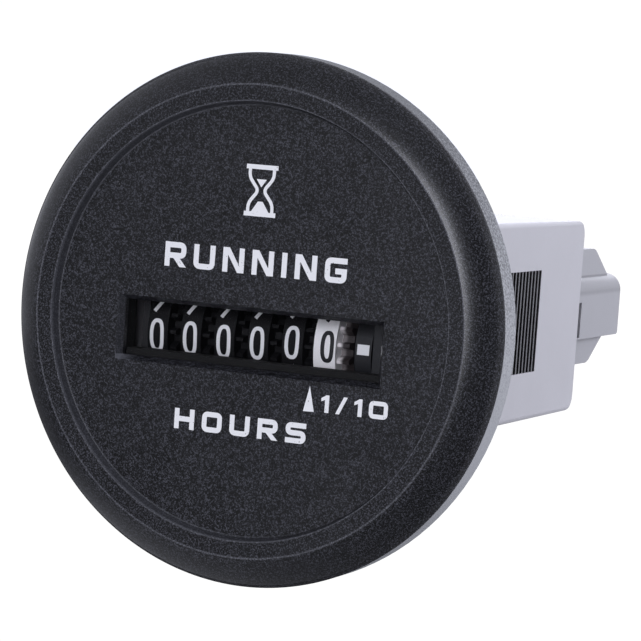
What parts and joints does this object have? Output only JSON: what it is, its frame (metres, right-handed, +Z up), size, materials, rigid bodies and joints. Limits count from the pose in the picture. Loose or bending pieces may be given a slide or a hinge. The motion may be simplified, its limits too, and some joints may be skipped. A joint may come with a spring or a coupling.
{
  "type": "hour meter",
  "caption": "Round panel hour meter: black bezel, windowed drum counter with run indicator, ratchet-sided grey case and a shrouded blade connector behind.",
  "frame": {"origin": "centre of the flange's back face, where it seats on the panel", "axes": "+Z up, +Y back through the panel, +X to the right of someone reading the dial"},
  "size_m": [0.0584, 0.0751, 0.0584],
  "materials": {
    "black_moulding": "fine grained black moulding",
    "clear_lens": "clear moulded lens",
    "grey_moulding": "satin light grey moulding",
    "housing_moulding": "satin mid grey moulding",
    "tinned_brass": "tinned blade",
    "frame_moulding": "black moulding",
    "shaft_steel": "ground steel",
    "black_drum": "black drum with white numerals",
    "white_drum": "white drum with black numerals",
    "wheel_moulding": "natural acetal",
    "magnet": "bonded ferrite",
    "stator_steel": "stamped soft iron",
    "bobbin_moulding": "natural nylon",
    "enamelled_wire": "enamelled copper wire",
    "board_laminate": "green solder mask",
    "crystal_can": "bright can",
    "chip_moulding": "black epoxy",
    "capacitor_sleeve": "dark blue sleeve",
    "resistor_body": "tan lacquer"
  },
  "bodies": {
    "meter_body": {"bezel": "black_moulding", "window_lens": "clear_lens", "case": "grey_moulding", "terminal_housing": "housing_moulding", "positive_terminal": "tinned_brass", "negative_terminal": "tinned_brass", "counter_frame": "frame_moulding", "drum_shaft": "shaft_steel", "pinion_shaft": "shaft_steel", "drive_pin": "shaft_steel", "middle_pin": "shaft_steel", "rotor_pin": "shaft_steel", "stator": "stator_steel", "coil_bobbin": "bobbin_moulding", "coil_winding": "enamelled_wire", "circuit_board": "board_laminate", "quartz_crystal": "crystal_can", "oscillator_chip": "chip_moulding", "capacitor": "capacitor_sleeve", "diode": "chip_moulding", "resistor": "resistor_body"},
    "tenths_drum": {"tenths_drum": "white_drum"},
    "drive_wheel": {"drive_wheel": "wheel_moulding"},
    "run_indicator": {"run_indicator": "black_drum"},
    "middle_wheel": {"middle_wheel": "wheel_moulding"},
    "rotor": {"rotor": "wheel_moulding", "rotor_magnet": "magnet"},
    "units_drum": {"units_drum": "black_drum"},
    "units_pinion": {"units_pinion": "wheel_moulding"},
    "tens_drum": {"tens_drum": "black_drum"},
    "tens_pinion": {"tens_pinion": "wheel_moulding"},
    "hundreds_drum": {"hundreds_drum": "black_drum"},
    "hundreds_pinion": {"hundreds_pinion": "wheel_moulding"},
    "thousands_drum": {"thousands_drum": "black_drum"},
    "thousands_pinion": {"thousands_pinion": "wheel_moulding"},
    "ten_thousands_drum": {"ten_thousands_drum": "black_drum"},
    "ten_thousands_pinion": {"ten_thousands_pinion": "wheel_moulding"}
  },
  "joints": [
    {"name": "rotor_turn", "type": "hinge", "parent": "meter_body", "child": "rotor", "pos_m": [0, 0.02579, -0.0012], "axis": [1, 0, 0], "range_deg": [0, 9720]},
    {"name": "middle_wheel_turn", "type": "hinge", "parent": "meter_body", "child": "middle_wheel", "pos_m": [0, 0.0193, 0.00255], "axis": [-1, 0, 0], "range_deg": [0, 2430]},
    {"name": "run_indicator_turn", "type": "hinge", "parent": "meter_body", "child": "run_indicator", "pos_m": [0, 0.0057, -0.0024], "axis": [-1, 0, 0], "range_deg": [0, 2430]},
    {"name": "drive_wheel_turn", "type": "hinge", "parent": "meter_body", "child": "drive_wheel", "pos_m": [0, 0.0116, 0.00255], "axis": [1, 0, 0], "range_deg": [0, 810]},
    {"name": "tenths_drum_turn", "type": "hinge", "parent": "meter_body", "child": "tenths_drum", "pos_m": [0, 0.0057, -0.0024], "axis": [-1, 0, 0], "range_deg": [0, 324]},
    {"name": "units_drum_turn", "type": "hinge", "parent": "meter_body", "child": "units_drum", "pos_m": [0, 0.0057, -0.0024], "axis": [-1, 0, 0], "range_deg": [0, 324]},
    {"name": "units_pinion_turn", "type": "hinge", "parent": "meter_body", "child": "units_pinion", "pos_m": [0, 0.01261, -0.0058], "axis": [1, 0, 0], "range_deg": [0, 810]},
    {"name": "tens_drum_turn", "type": "hinge", "parent": "meter_body", "child": "tens_drum", "pos_m": [0, 0.0057, -0.0024], "axis": [-1, 0, 0], "range_deg": [0, 324]},
    {"name": "tens_pinion_turn", "type": "hinge", "parent": "meter_body", "child": "tens_pinion", "pos_m": [0, 0.01261, -0.0058], "axis": [1, 0, 0], "range_deg": [0, 810]},
    {"name": "hundreds_drum_turn", "type": "hinge", "parent": "meter_body", "child": "hundreds_drum", "pos_m": [0, 0.0057, -0.0024], "axis": [-1, 0, 0], "range_deg": [0, 324]},
    {"name": "hundreds_pinion_turn", "type": "hinge", "parent": "meter_body", "child": "hundreds_pinion", "pos_m": [0, 0.01261, -0.0058], "axis": [1, 0, 0], "range_deg": [0, 810]},
    {"name": "thousands_drum_turn", "type": "hinge", "parent": "meter_body", "child": "thousands_drum", "pos_m": [0, 0.0057, -0.0024], "axis": [-1, 0, 0], "range_deg": [0, 324]},
    {"name": "thousands_pinion_turn", "type": "hinge", "parent": "meter_body", "child": "thousands_pinion", "pos_m": [0, 0.01261, -0.0058], "axis": [1, 0, 0], "range_deg": [0, 810]},
    {"name": "ten_thousands_drum_turn", "type": "hinge", "parent": "meter_body", "child": "ten_thousands_drum", "pos_m": [0, 0.0057, -0.0024], "axis": [-1, 0, 0], "range_deg": [0, 324]},
    {"name": "ten_thousands_pinion_turn", "type": "hinge", "parent": "meter_body", "child": "ten_thousands_pinion", "pos_m": [0, 0.01261, -0.0058], "axis": [1, 0, 0], "range_deg": [0, 810]}
  ],
  "couplings": [
    {"joint": "middle_wheel_turn", "follows": "rotor_turn", "ratio": 0.25},
    {"joint": "run_indicator_turn", "follows": "rotor_turn", "ratio": 0.25},
    {"joint": "drive_wheel_turn", "follows": "rotor_turn", "ratio": 0.083333},
    {"joint": "tenths_drum_turn", "follows": "rotor_turn", "ratio": 0.033333},
    {"joint": "units_pinion_turn", "follows": "units_drum_turn", "ratio": 2.5},
    {"joint": "tens_pinion_turn", "follows": "tens_drum_turn", "ratio": 2.5},
    {"joint": "hundreds_pinion_turn", "follows": "hundreds_drum_turn", "ratio": 2.5},
    {"joint": "thousands_pinion_turn", "follows": "thousands_drum_turn", "ratio": 2.5},
    {"joint": "ten_thousands_pinion_turn", "follows": "ten_thousands_drum_turn", "ratio": 2.5}
  ]
}
